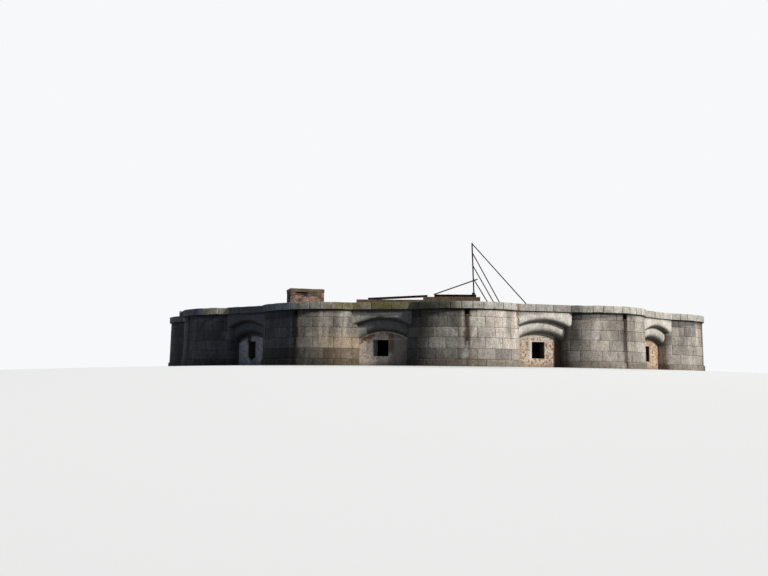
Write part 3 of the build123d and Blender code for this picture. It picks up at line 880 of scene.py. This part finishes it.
def build_wall_face(port):
    """The outer face of a port's wall, with its render peeled off the bricks in places."""
    window = windows.get(port, plain_window)
    left, right, low, high = window
    crown = arch_axis + inner_arch_radius + 0.02
    lines_a = wall_lines(-port_half_width, port_half_width, left, right)
    if port == entrance_port:
        beside, above = entrance_rows
        lines_u = np.concatenate([np.linspace(0, high, beside), np.linspace(high + wall_edge, crown, above)])
    else:
        lines_u = wall_lines(0, crown, low, high)
    across, up = grid(lines_a, lines_u)
    in_window = (across > left - hair) & (across < right + hair) & (up > low - hair) & (up < high + hair)
    hole = in_window[:-1, :-1] & in_window[1:, 1:]
    in_arch = np.hypot(across[:-1, :-1], up[:-1, :-1] - arch_axis) < inner_arch_radius + 0.03
    if port == broken_port:
        middle = (left + right) / 2
        notch = notch_depth * np.clip(1 - np.abs(across - middle) / (notch_width / 2), 0, 1)
        up = np.where(up <= low + hair, up * (1 - notch / low), up)
    cover = wall_cover(port, across, up, window)
    out = coat_lift + coat_thickness * cover + coat_waves * (cloud(across, up, 0.08, port) - 0.5)
    out = np.where(in_window, -coat_lift, out)
    points = turn(np.stack([across, -port_wall_face - out, up], -1), port * pitch)
    flat = np.stack([across, up, np.zeros_like(up)], -1)
    skin = Skin()
    skin.add(points, wall_colour(port, across, up, window), cover, flat, in_arch & ~hole)
    if port == front_port:
        depth, level = grid(np.linspace(0, 1, reveal_rows[0]), np.linspace(low, high, reveal_rows[1]))
        inward = (port_wall_face - gallery_outer) * depth
        reveal = np.stack([left + reveal_splay * depth, inward - port_wall_face, level], -1)
        skin.add(reveal, (0.42, 0.43, 0.40))
    skin.build(f"wall_face_{port + 1:02d}", coat)


# Worn blocks, for the coping, the slab and the steel plates

def block_lines(half, rounding, count):
    """Grid lines across a block from -half to half, close together at its rounded edges."""
    edge = half - rounding * np.array([0.0, 0.3, 0.65, 1.0])
    middle = np.linspace(-edge[-1], edge[-1], count + 1)[1:-1]
    return np.concatenate([-edge, middle, edge[::-1]])


def unpainted(points, tone):
    """White, for a material that has a colour of its own."""
    return 1.0


def worn_block(skin, corners, low, high, paint=unpainted, rounding=0.024, relief=0.006, shift=(0, 0, 0),
               counts=(3, 3, 2)):
    """A block on a four-cornered plan (front left, front right, back right, back left)."""
    corners = np.array(corners, dtype=float)
    width, depth = (np.linalg.norm(corners[corner] - corners[0]) for corner in (1, 3))
    sizes = np.array([width, depth, high - low])
    seed = int(rng.integers(1000))
    tone = rng.uniform()
    for axis in range(3):
        for side in (-1, 1):
            others = [other for other in range(3) if other != axis]
            lines = [block_lines(sizes[other] / 2, min(rounding, sizes[other] / 4), counts[other])
                     for other in others]
            fields = grid(*lines)
            place = np.zeros((*fields[0].shape, 3))
            for other, field in zip(others, fields):
                place[..., other] = field
            place[..., axis] = side * sizes[axis] / 2
            core = np.clip(place, -sizes / 2 + rounding, sizes / 2 - rounding)
            away = place - core
            length = np.linalg.norm(away, axis=-1, keepdims=True)
            x, y, z = (place[..., part] for part in range(3))
            wave = 2 * cloud(x + 0.7 * y, z + 0.7 * y, 0.12, seed, 3) - 1
            place = core + away / np.maximum(length, hair) * (rounding + relief * (wave[..., None] - 1))
            share = place / sizes + 0.5
            left = corners[0] + (corners[3] - corners[0]) * share[..., 1:2]
            right = corners[1] + (corners[2] - corners[1]) * share[..., 1:2]
            plan = left + (right - left) * share[..., 0:1]
            points = np.concatenate([plan, low + place[..., 2:3] + sizes[2] / 2], -1) + np.array(shift)
            if (side > 0) == (axis != 1):
                points = points[::-1]
            skin.add(points, paint(points, tone))


def polar(radius, angle, centre=(0, 0)):
    """A point in plan at an angle from -Y toward +X."""
    return np.array([centre[0] + radius * math.sin(angle), centre[1] - radius * math.cos(angle)])


def build_pier_coping():
    """Eleven straight coping stones over each pier, a little uneven, one of them slipped out."""
    skin = Skin()
    outer = lobe_radius + coping_overhang
    inner = outer - coping_width
    step = math.tau / lobe_sides
    for pier in range(port_count):
        angle = (pier + 0.5) * pitch
        centre = polar(lobe_centre, angle)
        for stone in range(coping_stones):
            middle = (stone - (coping_stones - 1) / 2) * step
            corners = []
            for radius, side in ((outer, -1), (outer, 1), (inner, 1), (inner, -1)):
                at_end = stone == (0 if side < 0 else coping_stones - 1)
                spread = end_stone_spread if at_end and radius == inner else 0
                around = angle + middle + side * (step / 2 + spread - coping_gap / radius)
                corners.append(polar(radius / math.cos(step / 2), around, centre))
            slipped = (pier, stone) == slipped_stone
            push = polar(slip_out if slipped else rng.normal(0, 0.006), angle + middle)
            sunk = -slip_down if slipped else min(0, rng.normal(-0.004, 0.005))
            worn_block(skin, corners, wall_height, coping_top, paint_coping, shift=(*push, sunk))
    skin.build("pier_coping_stones", coping_granite, ["pier_coping"])


def build_port_coping():
    """Three long coping stones over each port."""
    skin = Skin()
    front = port_face + coping_overhang
    back = front - coping_width
    for port in range(port_count):
        for stone in range(port_coping_stones):
            left, right = (2 * end / port_coping_stones - 1 for end in (stone, stone + 1))
            plan = np.array([(port_coping_half_front * left + coping_gap, -front),
                             (port_coping_half_front * right - coping_gap, -front),
                             (port_coping_half_back * right - coping_gap, -back),
                             (port_coping_half_back * left + coping_gap, -back)])
            push = polar(rng.normal(0, 0.005), port * pitch)
            sunk = min(0, rng.normal(-0.004, 0.005))
            worn_block(skin, turn(plan, port * pitch), wall_height, coping_top, paint_coping,
                       shift=(*push, sunk), counts=(6, 3, 2))
    skin.build("port_coping_stones", coping_granite, ["port_coping"])


# Roof

def paint_roof(points, tone):
    """Weathered concrete with dark damp, thin moss and rust below the steel."""
    across, along = points[..., 0], points[..., 1]
    colour = np.array((0.34, 0.325, 0.285)) * (0.85 + 0.28 * tone) * np.ones_like(points)
    damp = smooth(0.45, 0.65, cloud(across, along, 1.6, 70))
    colour = mix(colour, (0.17, 0.16, 0.135), 0.75 * damp)
    moss = smooth(0.58, 0.70, cloud(across, along, 0.8, 75))
    colour = mix(colour, (0.16, 0.165, 0.075), 0.8 * moss)
    viewed = turn(points, -viewer_angle)
    near_steel = np.exp(-((viewed[..., 1] + steel_distance) / 0.45) ** 2)
    return mix(colour, (0.17, 0.09, 0.05), 0.75 * near_steel * band(-3.3, 4.4, 0.5, viewed[..., 0]))


def roof_surface(angle, reference=10.0):
    """The roof before one port. Lengths along it are measured at the reference distance."""

    def surface(along, distance, out):
        level = roof_top + roof_lift + out
        return turn(np.stack([along * distance / reference, -distance, level], -1), angle)

    return surface, reference * math.tan(half_pitch)


def build_roof():
    """The roof's surface in bays of old concrete, in rows from the court out to each port."""
    skin = Skin()
    for port in range(port_count):
        surface, half = roof_surface(port * pitch)
        for row, reach in enumerate(pairwise(roof_rows)):
            splits = (0,) if row < 2 else (-roof_split * half, roof_split * half)
            lay_row(skin, surface, (-half, *splits, half), reach, paint_roof, **roof_bay)
    skin.build("roof_surface", granite)


def set_post(points):
    """Put points that are set out from the post's front left corner in their place on the roof."""
    moved = turn(points, post_turn)
    moved[..., :2] += post_place
    return turn(moved, viewer_angle)


def paint_brick(points, side, along, up):
    """A brick's own colour, with sooty patches, painted shade on the post's left side, and at the front a
    damp red patch and a break beside the slot painted dark as shade.
    """
    brick_colours = ((0.34, 0.20, 0.15), (0.43, 0.32, 0.26), (0.27, 0.17, 0.13), (0.38, 0.24, 0.18))
    own = np.array(brick_colours[rng.integers(len(brick_colours))]) * rng.uniform(0.8, 1.15)
    colour = own * np.ones_like(points)
    shade_and_soot = smooth(0.45, 0.6, cloud(points[..., 0] + points[..., 1], up, 0.3, 80)) * 0.7
    # Painted shade: the post's left side, turned from the sun, is made near black
    if side == left_side:
        shade_and_soot = np.maximum(shade_and_soot, 0.93)
    if side == front_side:
        ragged = 0.10 * (cloud(along, up, 0.12, 84) - 0.5)
        wet = band(0.20, 0.56, 0.06, along + ragged) * smooth(0.44, 0.52, up + ragged)
        colour = mix(colour, (0.10, 0.035, 0.025), 0.85 * wet)
        # Painted shade in the break beside the slot: near black
        broken_and_shaded = band(0.52, 0.82, 0.03, along + ragged) * smooth(0.42, 0.46, up + ragged)
        shade_and_soot = np.maximum(shade_and_soot, broken_and_shaded)
    return mix(colour, (0.035, 0.032, 0.036), shade_and_soot)


def lay_brick(skin, start, ahead, side, across, height):
    """One brick on a side of the post that runs ahead from its start."""
    proud = brick_proud + rng.uniform(-brick_uneven, brick_uneven)
    along, up = grid(*([low, low + brick_edge, high - brick_edge, high] for low, high in (across, height)))
    out = np.full((4, 4), -0.002)
    out[1:-1, 1:-1] = proud
    normal = np.array([ahead[1], -ahead[0]])
    plan = start + ahead * along[..., None] + normal * out[..., None]
    points = set_post(np.concatenate([plan, (roof_top + up)[..., None]], -1))
    skin.add(points, paint_brick(points, side, along, up))


def build_post():
    """Bricks laid round the post, course by course, and its chipped slab."""
    skin = Skin()
    post_height = post_top - roof_top
    courses = round(post_height / brick_height)
    levels = np.arange(courses + 1) * post_height / courses
    corners = np.array([(0, 0), (post_length, 0), (post_length, post_depth), (0, post_depth)], dtype=float)
    for side, (start, end) in enumerate(zip(corners, np.roll(corners, -1, axis=0))):
        length = np.linalg.norm(end - start)
        ahead = (end - start) / length
        for course, height in enumerate(pairwise(levels)):
            joints = np.arange(-0.5 * (course % 2), length / brick_length + 1) * brick_length
            for left, right in pairwise(np.clip(joints, 0, length)):
                beside_slot = side == front_side and post_slot[0] < (left + right) / 2 < post_slot[1]
                in_slot = beside_slot and height[1] > post_slot[2]
                if right - left < shortest_brick or in_slot or rng.uniform() < missing_share:
                    continue
                lay_brick(skin, start, ahead, side, (left, right), height)
    skin.build("post_bricks", granite)
    slab = Skin()
    plan = set_post(corners + post_slab_overhang * square)
    worn_block(slab, plan, post_top - post_slab_sunk, slab_top, rounding=0.035, relief=0.012,
               counts=(24, 14, 3))
    slab.build("post_slab", slab_concrete, ["brick_post_slab"])


def build_fixings():
    """Fish plates at the mast's foot, bolts along the sill, and bolted foot plates under the stays."""
    skin = Skin()

    def plate(x, y, half, low, height=bolt_height):
        ends = np.array((x, y)) + np.array(half) * square
        worn_block(skin, turn(ends, viewer_angle), low, low + height, rounding=0.003, relief=0.0005,
                   counts=(1, 1, 1))

    for side in (-1, 1):
        line = -steel_distance + side * bolt_line
        plate(mast_foot - 0.015, line, (0.075, 0.004), sill_top, fish_plate_height)
        for bolt in range(sill_bolts):
            plate(0.08 + bolt * bolt_spacing, line, (0.012, 0.012), sill_top)
    for foot in stay_feet:
        plate(foot - 0.015, -steel_distance, (0.085, 0.075), roof_top + 0.002)
        for x in (-0.08, 0.05):
            for y in (-0.055, 0.055):
                plate(foot + x, y - steel_distance, (0.011, 0.011), roof_top + 0.014)
    skin.build("frame_fixings", rust)


# The stage

def build_stage():
    """A pale mound that falls from the fort's foot to flat ground, not part of the fort."""
    fall = ((15.6, -0.01), (20, -0.16), (26, -0.42), (33, -0.85), (42, -1.45), (55, -2.1), (90, -2.4),
            (200, -2.4), (600, -2.4))
    around = 96
    points = [(0, 0, fall[0][1])]
    for radius, level in fall:
        for count in range(around):
            points.append((*polar(radius, math.tau * count / around), level))
    faces = []
    for count in range(around):
        after = (count + 1) % around
        faces.append((0, 1 + count, 1 + after))
        for ring in range(len(fall) - 1):
            start = 1 + ring * around
            faces.append((start + count, start + around + count, start + around + after, start + after))
    floor = Material("pale floor", 1.0)
    floor.put(floor.shader.inputs["Base Color"],
              floor.blend("MIX", floor.shown_rays(), (0.24, 0.24, 0.24), (0.80, 0.80, 0.79)))
    add_mesh("ground", points, faces, floor.made)


def facing(across, up):
    """A direction from an angle across and an angle up, both in radians."""
    return Vector((math.sin(across) * math.cos(up), math.cos(across) * math.cos(up), math.sin(up)))


def add_sun(name, energy, softness, around, height, colour):
    """A sun that shines from an angle round the fort and a height, both in degrees."""
    sun = bpy.data.lights.new(name, "SUN")
    sun.energy = energy
    sun.angle = math.radians(softness)
    sun.color = colour
    toward = facing(math.pi - math.radians(around), math.radians(height))
    add_object(name, sun).rotation_euler = (-toward).to_track_quat("-Z", "Y").to_euler()


def build_light():
    """A soft sun, a fainter one from behind and a dim blue sky, with a pale background to be seen."""
    add_sun("key", 3.7, 6, 70.6, 32, (1.0, 0.97, 0.92))
    add_sun("behind", 1.5, 20, 190, 35, (0.95, 0.97, 1.0))
    world = bpy.data.worlds.new("studio")
    world.use_nodes = True
    sky = Nodes(world.node_tree)
    light = sky.tree.nodes["Background"]
    sky.put(light.inputs["Color"], (0.70, 0.85, 1.0))
    sky.put(light.inputs["Strength"], 0.16)
    background = sky.add("Background", Color=(0.93, 0.94, 0.95))
    choice = sky.add("MixShader")
    for socket, value in zip(choice.inputs, (sky.shown_rays(), light.outputs[0], background.outputs[0])):
        sky.put(socket, value)
    sky.put(sky.tree.nodes["World Output"].inputs["Surface"], choice.outputs[0])
    bpy.context.scene.world = world


def build_camera():
    """The photograph's camera, low on the marsh, with the horizon leaning a little to the right."""
    place = (9.94, -59.02, -0.83)
    heading, climb, lean = (math.radians(degrees) for degrees in (-12.33, 5.31, 0.56))
    data = bpy.data.cameras.new("camera")
    data.sensor_width = 36
    data.lens = 48.9
    data.clip_end = 2000
    camera = add_object("camera", data)
    forward = facing(heading, climb)
    right = forward.cross(Vector((0, 0, 1))).normalized()
    above = right.cross(forward)
    right_leaning = right * math.cos(lean) + above * math.sin(lean)
    above_leaning = above * math.cos(lean) - right * math.sin(lean)
    rotation = Matrix((right_leaning, above_leaning, -forward)).transposed().to_4x4()
    camera.matrix_world = Matrix.Translation(place) @ rotation
    bpy.context.scene.camera = camera


def dress_nodes():
    """Give each CAD node that stays in sight its material."""
    port_walls = [f"port_wall_{port + 1:02d}" for port in range(port_count) if port != entrance_port]
    for material, nodes in (
            (arch_core, ["outer_port_arches", "inner_port_arches"]),
            (concrete, ["gallery_floor", "roof_slab"]),
            (base_concrete, ["roof_step", "frame_base"]),
            (post_brick, ["brick_post_walls"]),
            (rust, ["frame_sill", "rusty_beam", "mast", "stays", "slanting_bar"]),
            (court_brick, [f"court_wall_{quarter}" for quarter in range(1, 5)]),
            (shaded_wall_brick, ["entrance_wall", *port_walls])):
        for node in nodes:
            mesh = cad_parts[node].data
            mesh.materials.clear()
            mesh.materials.append(material)


for number in range(1, port_count + 1):
    build_pier(number, (number - 0.5) * pitch)
for port in range(port_count):
    build_head(port)
    build_wall_face(port)
build_pier_coping()
build_port_coping()
build_roof()
build_post()
build_fixings()
dress_nodes()
build_stage()
build_light()
build_camera()
bpy.context.scene.view_settings.view_transform = "Standard"
